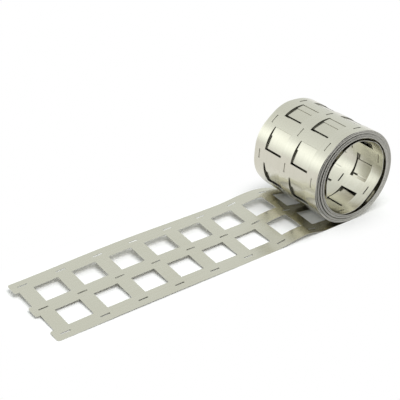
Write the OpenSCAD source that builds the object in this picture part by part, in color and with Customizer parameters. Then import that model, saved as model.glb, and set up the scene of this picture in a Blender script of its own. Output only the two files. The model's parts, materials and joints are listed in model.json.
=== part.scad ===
// Perforated nickel strip for joining round battery cells, three cells wide.
// One continuous stamped strip: most of it is wound into a coil, and a tail lies unrolled on the floor.
// X runs along the tail towards the coil, Y along the coil's axis, Z up. The origin is at the middle
// of the bounding box, on the floor.

/* [Stamping] */
// Distance between cell centres, along the strip and across it
pitch = 20.2; // [18.5:0.1:24]
// Cells side by side across the strip
cell_rows = 3; // [2:1:4]
// Width of the rails that run along the strip
rail_w = 7.7; // [5:0.1:10]
// Width of the rungs that run across the strip
rung_w = 7.2; // [5:0.1:10]
// Thickness of the sheet
sheet_t = 0.2; // [0.1:0.05:0.3]
// Length of the slit in the middle of each weld pad
slit_l = 5; // [3:0.1:6]
// Width of the slit in the middle of each weld pad
slit_w = 0.8; // [0.4:0.1:1.5]

/* [Free end] */
// Length of the cut rails that stand past the last rung
stub_l = 2.3; // [1.5:0.1:6]
// Corner radius of the cut rails
stub_corner_r = 1.2; // [0.3:0.1:1.4]

/* [Tail] */
// Pitches of strip between the coil and the free end's rung
tail_pitches = 8; // [7:1:16]
// Length of the near edge that lies on the floor beside the coil's foot
foot_l = 17; // [8:0.5:18]
// Height of the hump beside the coil, at the tail's near edge
hump_h = 2.2; // [0.5:0.1:2.6]
// Distance from the coil's foot to the top of the hump
hump_from_coil = 30.5; // [29:0.5:38]
// Distance from the coil's foot to where the near edge lies on the floor again
landing_from_coil = 52; // [46:1:90]
// Bend radius at the top of the hump
crest_r = 15; // [8:1:20]
// Bend radius at the two feet of the hump
foot_r = 18; // [10:1:22]
// Angle by which the tail leans up to its far edge
tail_lean = 3.9; // [0:0.1:4.5]
// Length of the strip that lies level under the coil
level_l = 4; // [2:0.5:6]
// Distance from the coil's foot over which the lean builds up
lean_from_coil = 22; // [20:1:60]

/* [Coil] */
// Diameter of the coil's bore
bore_d = 41; // [20:0.2:60]
// Turns of strip in the coil
turns = 13; // [4:1:24]
// Slack between one turn and the next
turn_gap = 0.17; // [0.05:0.01:0.4]
// Depth to which the turns stand apart on the coil's ends
turn_relief = 1.2; // [0.4:0.1:2]

/* [Hidden] */
$fn = 96;

window_l = pitch - rung_w;
window_w = pitch - rail_w;
strip_w = (cell_rows - 1) * pitch + rail_w;
window_rows = [for (i = [0 : cell_rows - 2]) (i - (cell_rows - 2) / 2) * pitch];
rail_rows = [for (i = [0 : cell_rows - 1]) (i - (cell_rows - 1) / 2) * pitch];

bore_r = bore_d / 2;
turn_pitch = sheet_t + turn_gap;
coil_r = bore_r + turns * sheet_t + (turns - 1) * turn_gap;
// The coil's underside runs into the sheet's thickness, where the outer turn becomes the tail
coil_z = coil_r + sheet_t / 4;
// The sheet goes on a little way past the foot, into the outer turn
foot_overlap = 1.5;
// A cutter is deeper than the sheet bends and leans within one window
through = window_l / 3;

// Strip length from the start of the outer turn to the end of a number of turns
function wound_l(n) = 2 * PI * n * (coil_r - n * turn_pitch / 2);

// A flank of the hump spans a run and a rise between two bends whose radii add up to bends
function flank_l(run, rise, bends) = sqrt(run * run + rise * rise - 2 * bends * rise);
function flank_angle(run, rise, bends) =
    asin(bends / norm([run, bends - rise])) - atan2(bends - rise, run);

bends = foot_r + crest_r;
rise_run = hump_from_coil - foot_l;
fall_run = landing_from_coil - hump_from_coil;
rise_angle = flank_angle(rise_run, hump_h, bends);
fall_angle = flank_angle(fall_run, hump_h, bends);

function arc_l(r, angle) = r * angle * PI / 180;

// The tail's runs from the coil to the free end's rung: [length, turn in degrees, up is positive]
hump_runs = [
    [foot_l, 0],
    [arc_l(foot_r, rise_angle), rise_angle],
    [flank_l(rise_run, hump_h, bends), 0],
    [arc_l(crest_r, rise_angle + fall_angle), -(rise_angle + fall_angle)],
    [flank_l(fall_run, hump_h, bends), 0],
    [arc_l(foot_r, fall_angle), fall_angle],
];
function total_l(runs, i = 0) = i == len(runs) ? 0 : runs[i][0] + total_l(runs, i + 1);
tail_l = tail_pitches * pitch + rung_w;
tail_runs = concat(hump_runs, [[tail_l - total_l(hump_runs), 0]]);

// Place of the near edge, in the middle of the sheet: [x, z, slope in degrees], going from the coil to the free end
function after_run(at, l, run) =
    let (slope = at[2] + run[1] * l / run[0],
         r = run[1] == 0 ? 0 : run[0] * 180 / PI / run[1])
    run[1] == 0
        ? [at[0] - l * cos(slope), at[1] + l * sin(slope), slope]
        : [at[0] - r * (sin(slope) - sin(at[2])), at[1] + r * (cos(at[2]) - cos(slope)), slope];
function place(s, i = 0, at = [0, sheet_t / 2, 0]) =
    s <= tail_runs[i][0] || i == len(tail_runs) - 1
        ? after_run(at, s, tail_runs[i])
        : place(s - tail_runs[i][0], i + 1, after_run(at, tail_runs[i][0], tail_runs[i]));

// Lean of the sheet at a length along the tail, which eases in and out
function eased(share) = let (u = min(max(share, 0), 1)) u * u * (3 - 2 * u);
function lean(s) = tail_lean * eased((s - level_l) / (lean_from_coil - level_l));

// A point of the sheet: at a length along the tail, across from its middle line and above its middle surface
function sheet_point(s, across, above) =
    let (at = place(s), a = lean(s))
    [at[0] + above * sin(at[2]),
     across * cos(a) - above * sin(a),
     at[1] + (across + strip_w / 2) * sin(a) + above * cos(at[2]) * cos(a)];

// Slope of the sheet's middle line, up is positive
function middle_slope(s) =
    let (a = sheet_point(s - sheet_t, 0, 0), b = sheet_point(s + sheet_t, 0, 0))
    atan2(b[2] - a[2], a[0] - b[0]);

// Lengths along the tail at which its loft has a section; past the hump it is one flat run
loft_step = 1.5;
loft_l = max(total_l(hump_runs), lean_from_coil);
loft_steps = ceil(loft_l / loft_step);
loft_s = [-foot_overlap, for (i = [0 : loft_steps]) loft_l * i / loft_steps, tail_l + stub_l];

// The coil's foot is at x = 0 in the modules below; this shift centres the box on the origin
tail_reach = stub_l - place(tail_l)[0];
centre_shift = (tail_reach - coil_r) / 2;

module on_sheet(s) {
    translate(sheet_point(s, 0, 0)) rotate([lean(s), middle_slope(s), 0]) children();
}

// Part of a turn about the coil's way of winding: from an angle, over a sweep, between two radii
module turn_sector(from, sweep, r_in, r_out, y, w) {
    rotate([90, 0, 0]) rotate([0, 0, from]) rotate_extrude(angle = sweep)
        translate([r_in, -y - w / 2]) square([r_out - r_in, w]);
}

// The unrolled sheet, from inside the outer turn to the ends of its rails, lofted through its sections
module tail_sheet() {
    corners = [[-1, -1], [1, -1], [1, 1], [-1, 1]];
    n = len(corners);
    last = n * (len(loft_s) - 1);
    sides = [
        for (i = [0 : n : last - n], k = [0 : n - 1])
            let (a = i + k, b = i + (k + 1) % n)
            each [[a, b, b + n], [a, b + n, a + n]],
    ];
    polyhedron(
        [for (s = loft_s, c = corners) sheet_point(s, c[0] * strip_w / 2, c[1] * sheet_t / 2)],
        concat([[3, 2, 1, 0], [last, last + 1, last + 2, last + 3]], sides)
    );
}

// What the shears took off the free end: the sheet between the rails' stubs, and the stubs' corners
module end_cuts() {
    for (y = window_rows)
        translate([-stub_l, y, 0]) cube([2 * stub_l, window_w, through], center = true);
    // The arc's centre is a hair less than its radius from the edges, so that it crosses them
    centre = 0.99 * stub_corner_r;
    for (y = rail_rows, side = [0, 1])
        translate([-stub_l, y, 0]) mirror([0, side, 0]) translate([0, rail_w / 2, 0])
            linear_extrude(through, center = true) difference() {
                square(2 * centre, center = true);
                translate([centre, -centre]) circle(stub_corner_r);
            }
}

module tail() {
    difference() {
        tail_sheet();
        for (i = [0 : tail_pitches - 1])
            on_sheet(rung_w + i * pitch + window_l / 2)
                for (y = window_rows) translate([0, y, 0]) cube([window_l, window_w, through], center = true);
        for (i = [0 : tail_pitches])
            on_sheet(rung_w / 2 + i * pitch)
                for (y = rail_rows) translate([0, y, 0]) cube([slit_l, slit_w, through], center = true);
        on_sheet(tail_l) end_cuts();
    }
}

// Side section of the wound coil: the turns stand apart on its ends
module coil_section() {
    translate([bore_r, -strip_w / 2 + turn_relief])
        square([coil_r - bore_r, strip_w - 2 * turn_relief]);
    for (i = [0 : turns - 1])
        translate([coil_r - i * turn_pitch - sheet_t, -strip_w / 2]) square([sheet_t, strip_w]);
}

// Windows and slits of one turn, from a place on the wound length; arc_r is the turn's own radius
module turn_cuts(r_in, r_out, arc_r, first_s, last_s) {
    degrees_per_mm = 180 / PI / arc_r;
    for (i = [ceil(first_s / pitch) : floor((last_s - pitch) / pitch)]) {
        start = -90 + (i * pitch - first_s) * degrees_per_mm;
        for (y = window_rows)
            turn_sector(start, window_l * degrees_per_mm, r_in, r_out, y, window_w);
        for (y = rail_rows)
            turn_sector(start + (window_l + (rung_w - slit_l) / 2) * degrees_per_mm,
                        slit_l * degrees_per_mm, r_in, r_out, y, slit_w);
    }
}

module coil() {
    inner_turn_start = wound_l(turns - 1);
    translate([0, 0, coil_z]) difference() {
        rotate([90, 0, 0]) rotate_extrude() coil_section();
        turn_cuts(coil_r - turn_pitch, coil_r + sheet_t, coil_r, 0, 2 * PI * coil_r);
        turn_cuts(bore_r - sheet_t, bore_r + turn_pitch, bore_r,
                  inner_turn_start, inner_turn_start + 2 * PI * bore_r);
    }
}

module nickel_strip() {
    color([0.78, 0.77, 0.71]) translate([centre_shift, 0, 0]) {
        tail();
        coil();
    }
}

nickel_strip();
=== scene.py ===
import json
import math

import bmesh
import bpy
from mathutils import Matrix, Vector


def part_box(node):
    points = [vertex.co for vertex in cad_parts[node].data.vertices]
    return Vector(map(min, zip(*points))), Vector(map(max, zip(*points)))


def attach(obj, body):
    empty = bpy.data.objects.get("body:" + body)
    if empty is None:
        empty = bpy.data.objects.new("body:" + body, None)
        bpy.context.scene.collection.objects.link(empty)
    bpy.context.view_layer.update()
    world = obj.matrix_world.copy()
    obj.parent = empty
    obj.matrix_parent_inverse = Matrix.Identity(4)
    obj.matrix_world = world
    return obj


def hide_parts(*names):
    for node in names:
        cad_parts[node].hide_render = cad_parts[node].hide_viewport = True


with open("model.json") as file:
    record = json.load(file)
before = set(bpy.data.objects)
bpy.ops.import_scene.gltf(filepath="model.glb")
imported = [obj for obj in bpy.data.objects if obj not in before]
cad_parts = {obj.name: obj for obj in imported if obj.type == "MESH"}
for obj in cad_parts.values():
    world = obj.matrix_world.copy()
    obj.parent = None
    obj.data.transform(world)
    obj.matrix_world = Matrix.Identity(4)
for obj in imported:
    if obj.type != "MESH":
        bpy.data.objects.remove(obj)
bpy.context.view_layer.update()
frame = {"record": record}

# The stamped strip, still flat: a ladder of thin nickel sheet with three rails and a rung at every cell.
# Each crossing is a weld pad with a short slit in it. One pitch is cut out of a plane, a rung and then a
# pair of windows, and repeated over the whole length.
mm = 0.001
hair = 0.01 * mm
pitch = 20.2 * mm
rung_w = 7.2 * mm
sheet_t = 0.2 * mm
slit_l = 5.0 * mm
slit_w = 0.8 * mm
rungs = 100
window_steps = 10
slit_steps = 4

box_low, box_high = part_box("nickel_strip")
strip_w = box_high[1] - box_low[1]
rail_w = strip_w - 2 * pitch
window_l = pitch - rung_w
rail_rows = [-pitch, 0, pitch]


def on_a_rail(y, width):
    return any(abs(y - row) < width / 2 for row in rail_rows)


def select_parts(parts, wanted):
    for part in parts:
        part.select_set(wanted(part))


def cut_across(places, direction):
    for place in places:
        bpy.ops.mesh.select_all(action="SELECT")
        bpy.ops.mesh.bisect(plane_co=Vector(direction) * place, plane_no=direction)


def punched_out(face):
    x, y, _ = face.calc_center_median()
    in_window = x > rung_w and not on_a_rail(y, rail_w)
    in_slit = abs(x - rung_w / 2) < slit_l / 2 and on_a_rail(y, slit_w)
    return in_window or in_slit


bpy.ops.object.select_all(action="DESELECT")
bpy.ops.mesh.primitive_plane_add(size=1, location=(pitch / 2, 0, 0))
strip = bpy.context.object
strip.name = "perforated_strip"
strip.scale = (pitch, strip_w, 1)
bpy.ops.object.transform_apply(location=True, rotation=True, scale=True)
bpy.ops.object.mode_set(mode="EDIT")
slit_start = (rung_w - slit_l) / 2
cut_across([slit_start + slit_l * i / slit_steps for i in range(slit_steps + 1)], (1, 0, 0))
cut_across([rung_w + window_l * i / window_steps for i in range(window_steps)], (1, 0, 0))
for half in (slit_w / 2, rail_w / 2):
    cut_across([row + side * half for row in rail_rows for side in (-1, 1)], (0, 1, 0))
bpy.ops.mesh.select_mode(type="FACE")
select_parts(bmesh.from_edit_mesh(strip.data).faces, punched_out)
bpy.ops.mesh.delete(type="FACE")
bpy.ops.object.mode_set(mode="OBJECT")
repeat = strip.modifiers.new("repeat", "ARRAY")
repeat.count = rungs
repeat.use_relative_offset = False
repeat.use_constant_offset = True
repeat.constant_offset_displace = (pitch, 0, 0)
repeat.use_merge_vertices = True
repeat.merge_threshold = hair
bpy.ops.object.modifier_apply(modifier=repeat.name)

# The two ends of the strip, where it was cut off with shears: the rails stand a little past the last rung and
# have rounded corners. At the free end they are drawn out of the rung, and at the inner end the last pair of
# windows is cut short.
stub_l = 2.3 * mm
stub_corner_r = 1.2 * mm
stub_corner_steps = 4
strip_l = (rungs - 1) * pitch + rung_w + stub_l


def rail_end(edge):
    (x0, y0, _), (x1, y1, _) = edge.verts[0].co, edge.verts[1].co
    return max(x0, x1) < hair and on_a_rail((y0 + y1) / 2, rail_w)


def stub_corner(point):
    x, y, _ = point.co
    at_end = x < -stub_l + hair or x > strip_l - hair
    return at_end and any(abs(abs(y - row) - rail_w / 2) < hair for row in rail_rows)


bpy.ops.object.mode_set(mode="EDIT")
bpy.ops.mesh.select_mode(type="EDGE")
bpy.ops.mesh.select_all(action="DESELECT")
select_parts(bmesh.from_edit_mesh(strip.data).edges, rail_end)
bpy.ops.mesh.extrude_region_move(TRANSFORM_OT_translate={"value": (-stub_l, 0, 0)})
bpy.ops.mesh.select_all(action="SELECT")
bpy.ops.mesh.bisect(plane_co=(strip_l, 0, 0), plane_no=(1, 0, 0), clear_outer=True)
bpy.ops.mesh.select_mode(type="VERT")
bpy.ops.mesh.select_all(action="DESELECT")
select_parts(bmesh.from_edit_mesh(strip.data).verts, stub_corner)
bpy.ops.mesh.bevel(offset=stub_corner_r, segments=stub_corner_steps, affect="VERTICES")
bpy.ops.object.mode_set(mode="OBJECT")

# The tail, which lies unrolled with its far edge up a little. Its near edge is bowed a little off the floor,
# comes over a hump beside the coil and runs under it. Its middle line and its lean are worked out from the
# free end to the coil's foot, as the first stretch of the path that the strip is wound on.
bore = next(mount for mount in frame["record"]["mounts"] if mount["name"] == "coil_bore")
axis_x = bore["pos_m"][0]
free_end_x = box_low[0]
foot_before_axis = 0.9 * mm
foot_x = axis_x - foot_before_axis
foot_l = 16 * mm
hump_h = 2.2 * mm
hump_from_foot = 29.5 * mm
hump_end = 51 * mm
bow_h = 0.55 * mm
bow_rise = (hump_end, 110 * mm)
bow_fall = (125 * mm, 175 * mm)
tail_lean = math.radians(4.45)
lean_rise = (4 * mm, 22 * mm)
hump_levels = math.radians(1.2)
free_end_levels = math.radians(1.3)
levelling = (100 * mm, 165 * mm)
tail_steps = 90


def smooth(start, end, at):
    share = min(max((at - start) / (end - start), 0), 1)
    return share * share * (3 - 2 * share)


def rise_and_fall(rise, fall, at):
    return smooth(*rise, at) * (1 - smooth(*fall, at))


def hump(from_foot):
    return rise_and_fall((foot_l, hump_from_foot), (hump_from_foot, hump_end), from_foot)


def lean(from_foot):
    levelled = hump_levels * hump(from_foot) + free_end_levels * smooth(*levelling, from_foot)
    return tail_lean * smooth(*lean_rise, from_foot) - levelled


path = []
for i in range(tail_steps + 1):
    from_foot = (foot_x - free_end_x) * (1 - i / tail_steps)
    near_edge = hump_h * hump(from_foot) + bow_h * rise_and_fall(bow_rise, bow_fall, from_foot)
    raised = near_edge + strip_w / 2 * math.sin(lean(from_foot))
    path.append((Vector((foot_x - from_foot, 0, sheet_t / 2 + raised)), lean(from_foot)))
travelled = sum((b - a).length for (a, _), (b, _) in zip(path, path[1:]))
tail_l = travelled - stub_l

# The coil: the strip climbs the side away from the tail as the outermost turn, loose and bent in its windows,
# so that its rungs are nearly flat. The turns lie close at the lower right and stand apart unevenly on the
# other side. The innermost one has sprung away from the rest, with its near edge flared inwards.
outer_r = 25.41 * mm
ovalness = 0.35 * mm
oval_turns = 6
close_gap = 0.05 * mm
outer_gap = 0.27 * mm
tight_gap = 0.06 * mm
uneven_gap = 0.2575 * mm
parted_gap = 0.42 * mm
inner_gap = 0.7 * mm
bundle_gaps = 2 * [tight_gap] + [uneven_gap] + 2 * [tight_gap]
loose_gaps = [outer_gap] + bundle_gaps + [parted_gap] + bundle_gaps + [inner_gap, tight_gap]
turn_depths = [sheet_t + close_gap + gap for gap in loose_gaps]
close_side = math.radians(-17)
sideways_share = 0.9
loose_side_turn = 0.29
angle_step = math.radians(1)
guide_spare = 5 * mm
slack = 2.6 * mm
slack_l = 4 * pitch

# The stretches below are counted in turns from the coil's foot
rung_flatness = 0.65
outer_flats_rise = (0.42, 0.54)
outer_flats_fall = (0.8, 1.0)
inner_flats_rise = (11.9, 12.1)
sprung = 0.7 * mm
sprung_rise = (12.0, 12.1)
sprung_fall = (12.24, 12.4)
flare = 2.6 * mm
flare_curl = 1.3
flare_rise = (11.91, 12.09)
flare_fall = (12.6, 12.75)
flare_eases = (12.14, 12.3)
flare_eased_share = 0.7


def wound(turn, amounts):
    # An amount for each gap, summed up over the turns so far, with the gaps counted from the loose side
    at = turn + loose_side_turn
    so_far = amounts[: int(at) + 1]
    return sum(so_far) - (1 - at % 1) * so_far[-1] - loose_side_turn * so_far[0]


def rung_lift(length):
    # How far the strip stands off its round path: rungs stay nearly flat, and the windows bend between them
    at = length % pitch
    sag = rung_flatness / (2 * outer_r)
    if at < rung_w:
        return -sag * at * (rung_w - at)
    share = (at - rung_w) / window_l
    return sag * rung_w * window_l * (share - share**2)


def near_flare(turn):
    eased = 1 - flare_eased_share * smooth(*flare_eases, turn)
    return flare * eased * rise_and_fall(flare_rise, flare_fall, turn)


def taken_up(length):
    # Strip that the loose outer turn holds beyond its smooth path, over the first pitches past the foot
    return slack * min(max((length - tail_l) / slack_l, 0), 1)


outer_centre = Vector((foot_x, 0, outer_r - ovalness + sheet_t / 2))
drift = Vector((math.cos(close_side), 0, math.sin(close_side)))
inner_turn = inner_flats_rise[0]
flared = []
angle = 0
length = tail_l
while length < strip_l + guide_spare:
    angle += angle_step
    turn = angle / (2 * math.pi)
    centre = outer_centre + drift * sideways_share * wound(turn, loose_gaps)
    flats = rise_and_fall(outer_flats_rise, outer_flats_fall, turn) + smooth(*inner_flats_rise, turn)
    radius = outer_r - wound(turn, turn_depths)
    radius -= ovalness * math.cos(2 * angle) * max(1 - turn / oval_turns, 0)
    radius += rung_lift(length) * flats
    radius -= sprung * rise_and_fall(sprung_rise, sprung_fall, turn)
    point = centre + radius * Vector((math.sin(angle), 0, -math.cos(angle)))
    travelled += (point - path[-1][0]).length
    length = travelled - stub_l
    length += taken_up(length)
    path.append((point, 0))
    if turn > inner_turn:
        flared.append((length, near_flare(turn)))

guide_curve = bpy.data.curves.new("winding", "CURVE")
guide_curve.dimensions = "3D"
guide_curve.twist_mode = "MINIMUM"
spline = guide_curve.splines.new("POLY")
spline.points.add(len(path) - 1)
for guide_point, (place, tilt) in zip(spline.points, path):
    guide_point.co = (*place, 1)
    guide_point.tilt = tilt
guide = bpy.data.objects.new("winding", guide_curve)
bpy.context.collection.objects.link(guide)

# The winding itself: places on the flat strip are kept for the finish, the innermost turn's near edge is
# turned up, and the strip is bent along the path and given its thickness. The faces between its two sides are
# the sheared ones.
sharp_edge = math.radians(35)
flat = strip.data.attributes.new("flat", "FLOAT_VECTOR", "POINT")
flat.data.foreach_set("vector", [number for vertex in strip.data.vertices for number in vertex.co])
for vertex in strip.data.vertices:
    to_near_edge = max(-vertex.co.y - rail_w / 2, 0) / (strip_w / 2 - rail_w / 2)
    if to_near_edge > 0 and vertex.co.x > flared[0][0]:
        _, inward = min(flared, key=lambda place: abs(place[0] - vertex.co.x))
        vertex.co.z += inward * to_near_edge**flare_curl
    vertex.co.x += stub_l - taken_up(vertex.co.x)
wind = strip.modifiers.new("wind", "CURVE")
wind.object = guide
wind.deform_axis = "POS_X"
bpy.context.view_layer.objects.active = strip
bpy.ops.object.modifier_apply(modifier=wind.name)
one_side = len(strip.data.vertices)
thicken = strip.modifiers.new("sheet", "SOLIDIFY")
thicken.thickness = sheet_t
thicken.offset = 0
bpy.ops.object.modifier_apply(modifier=thicken.name)
bpy.data.objects.remove(guide)
bpy.ops.object.select_all(action="DESELECT")
strip.select_set(True)
bpy.ops.object.shade_smooth_by_angle(angle=sharp_edge)
sheared = strip.data.attributes.new("sheared", "FLOAT", "FACE")
for face in strip.data.polygons:
    sides = {corner < one_side for corner in face.vertices}
    sheared.data[face.index].value = len(sides) - 1


# The finish of the strip: bright cold-rolled nickel with fine rolling lines along it, a faint haze from
# handling and a rougher skin where the sheet was sheared.
class Shade:
    def __init__(self, tree, socket=None):
        self.tree = tree
        self.socket = socket

    def add(self, kind, settings=None, sockets=None, out=0):
        node = self.tree.nodes.new(kind)
        for key, value in (settings or {}).items():
            setattr(node, key, value)
        for key, value in (sockets or {}).items():
            if isinstance(value, Shade):
                self.tree.links.new(value.socket, node.inputs[key])
            else:
                node.inputs[key].default_value = value
        return Shade(self.tree, node.outputs[out])

    def math(self, operation, a, b):
        return self.add("ShaderNodeMath", {"operation": operation}, {0: a, 1: b})

    def __add__(self, other):
        return self.math("ADD", self, other)

    __radd__ = __add__

    def __mul__(self, other):
        return self.math("MULTIPLY", self, other)

    __rmul__ = __mul__

    def __pow__(self, other):
        return self.math("POWER", self, other)


nickel = bpy.data.materials.new("bright_nickel")
nickel.use_nodes = True
nickel_links = nickel.node_tree.links
shader = nickel.node_tree.nodes["Principled BSDF"]
on_strip = Shade(nickel.node_tree).add("ShaderNodeAttribute", {"attribute_name": "flat"}, out="Vector")
at_shear = on_strip.add("ShaderNodeAttribute", {"attribute_name": "sheared"}, out="Fac")


def grain(along, across, detail):
    # Noise on the flat strip, with so many grains to a metre along it and across it
    grains = {0: on_strip, 1: (along, across, 0)}
    place = on_strip.add("ShaderNodeVectorMath", {"operation": "MULTIPLY"}, grains)
    return place.add("ShaderNodeTexNoise", None, {"Vector": place, "Scale": 1, "Detail": detail})


def blend(share, colour, other):
    return on_strip.add("ShaderNodeMix", {"data_type": "RGBA"}, {0: share, 6: colour, 7: other}, out=2)


rolling_lines = grain(along=25, across=8000, detail=2)
streaks = grain(along=9, across=1400, detail=2)
smudges = grain(along=70, across=70, detail=3)
haze = grain(along=20, across=32, detail=2)
clean_nickel = (0.70, 0.685, 0.605, 1)
dull_nickel = (0.605, 0.58, 0.475, 1)
cut_nickel = (0.58, 0.57, 0.52, 1)
rolled_roughness = 0.14
streak_roughness = 0.06
smudge_roughness = 0.10
shear_roughness = 0.2
rolling_depth = 0.01 * mm
rolling_strength = 0.15
face_colour = blend(0.5 * haze + 0.5 * streaks, clean_nickel, dull_nickel)
nickel_links.new(blend(at_shear, face_colour, cut_nickel).socket, shader.inputs["Base Color"])
face_roughness = rolled_roughness + streak_roughness * streaks + smudge_roughness * smudges
roughness = face_roughness + shear_roughness * at_shear
nickel_links.new(roughness.socket, shader.inputs["Roughness"])
bump = {"Strength": rolling_strength, "Distance": rolling_depth, "Height": rolling_lines}
relief = rolling_lines.add("ShaderNodeBump", None, bump)
nickel_links.new(relief.socket, shader.inputs["Normal"])
shader.inputs["Metallic"].default_value = 1
strip.data.materials.append(nickel)
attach(strip, "root")
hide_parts("nickel_strip")

# The floor that the strip lies on: a wide sheet of pale matt paper. It takes the strip's shadow close to it
# and is plain white farther away, also where the metal mirrors it.
floor_size = 40
paper_colour = (0.93, 0.93, 0.93, 1)
paper_roughness = 0.9
shadow_reach = 18 * mm
bpy.ops.object.select_all(action="DESELECT")
bpy.ops.mesh.primitive_plane_add(size=floor_size, location=(0, 0, 0))
floor = bpy.context.object
floor.name = "floor"
paper = bpy.data.materials.new("pale_floor")
paper.use_nodes = True
paper_shader = paper.node_tree.nodes["Principled BSDF"]
paper_shader.inputs["Base Color"].default_value = paper_colour
paper_shader.inputs["Roughness"].default_value = paper_roughness
lit_paper = Shade(paper.node_tree, paper_shader.outputs[0])
white_paper = lit_paper.add("ShaderNodeEmission")
half_box = (box_high[0], box_high[1], 0)
on_floor = lit_paper.add("ShaderNodeTexCoord", out="Object")
from_middle = on_floor.add("ShaderNodeVectorMath", {"operation": "ABSOLUTE"}, {0: on_floor})
past_box = on_floor.add("ShaderNodeVectorMath", {"operation": "SUBTRACT"}, {0: from_middle, 1: half_box})
outside = on_floor.add("ShaderNodeVectorMath", {"operation": "MAXIMUM"}, {0: past_box, 1: (0, 0, 0)})
away = on_floor.add("ShaderNodeVectorMath", {"operation": "LENGTH"}, {0: outside}, out="Value")
clear_of_shadow = {"Value": away, "From Max": shadow_reach}
clear = away.add("ShaderNodeMapRange", {"interpolation_type": "SMOOTHSTEP"}, clear_of_shadow)
camera_ray = clear.add("ShaderNodeLightPath", out="Is Camera Ray")
glossy_ray = clear.add("ShaderNodeLightPath", out="Is Glossy Ray")
transmission_ray = clear.add("ShaderNodeLightPath", out="Is Transmission Ray")
seen = camera_ray + glossy_ray + transmission_ray
paper_look = lit_paper.add("ShaderNodeMixShader", None, {0: clear * seen, 1: lit_paper, 2: white_paper})
paper.node_tree.links.new(paper_look.socket, paper.node_tree.nodes["Material Output"].inputs["Surface"])
floor.data.materials.append(paper)

# The light: a pale room that is darker in front than at the back, with one soft window at the back left,
# which makes the bright band on the coil. A wide lamp overhead makes soft shadows on the floor, and the metal
# doesn't mirror it.
front_level = 0.40
back_level = 0.90
wall_from_y = -0.3
wall_to_y = 0.5
window_level = 0.8
window_direction = Vector((-0.60, 0.71, 0.36)).normalized()
window_sharpness = 18
room_colour = (0.965, 1, 0.985, 1)
world = bpy.data.worlds.new("studio")
world.use_nodes = True
bpy.context.scene.world = world
looking = Shade(world.node_tree).add("ShaderNodeTexCoord", out="Generated")


def share_towards(direction):
    vectors = {0: looking, 1: direction}
    return looking.add("ShaderNodeVectorMath", {"operation": "DOT_PRODUCT"}, vectors, out="Value")


facing = share_towards(window_direction)
wall_levels = {
    "Value": share_towards((0, 1, 0)),
    "From Min": wall_from_y,
    "From Max": wall_to_y,
    "To Min": front_level,
    "To Max": back_level,
}
walls = looking.add("ShaderNodeMapRange", {"interpolation_type": "SMOOTHSTEP"}, wall_levels)
brightness = walls + window_level * facing.math("MAXIMUM", facing, 0) ** window_sharpness
room = world.node_tree.nodes["Background"]
world.node_tree.links.new(brightness.socket, room.inputs["Strength"])
room.inputs["Color"].default_value = room_colour

lamp_direction = Vector((0.1, -0.33, 0.94)).normalized()
lamp_distance = 1.1
lamp_size = 0.9
lamp_watts = 9.5
bpy.ops.object.light_add(type="AREA", location=lamp_direction * lamp_distance)
lamp = bpy.context.object
lamp.name = "key_light"
lamp.data.size = lamp_size
lamp.data.energy = lamp_watts
lamp.visible_glossy = False
lamp.rotation_euler = (-lamp.location).to_track_quat("-Z", "Y").to_euler()

# The camera, which looks down on the strip from the near left. Its place was fitted to the windows of the
# tail, so it aims at a point that is measured from the first of them.
aim_along = 110.96 * mm
aim_across = 39.26 * mm
azimuth = math.radians(-35.09)
elevation = math.radians(29.82)
roll = math.radians(-0.96)
camera_distance = 561.9 * mm
focal_length_px = 1059.9
picture_width_px = 400
first_window_x = free_end_x + stub_l + rung_w
aim = Vector((first_window_x + aim_along, aim_across, 0))
flat_backward = Vector((math.sin(azimuth), -math.cos(azimuth), 0))
backward = flat_backward * math.cos(elevation) + Vector((0, 0, math.sin(elevation)))
rightward = Vector((math.cos(azimuth), math.sin(azimuth), 0))
upward = backward.cross(rightward)
picture_right = rightward * math.cos(roll) + upward * math.sin(roll)
picture_up = upward * math.cos(roll) - rightward * math.sin(roll)
turned = Matrix((picture_right, picture_up, backward)).transposed()
camera_data = bpy.data.cameras.new("camera")
camera_data.sensor_width = 36
camera_data.lens = focal_length_px / picture_width_px * camera_data.sensor_width
camera = bpy.data.objects.new("camera", camera_data)
bpy.context.collection.objects.link(camera)
camera.matrix_world = Matrix.Translation(aim + backward * camera_distance) @ turned.to_4x4()
bpy.context.scene.camera = camera
bpy.context.scene.view_settings.view_transform = "Standard"
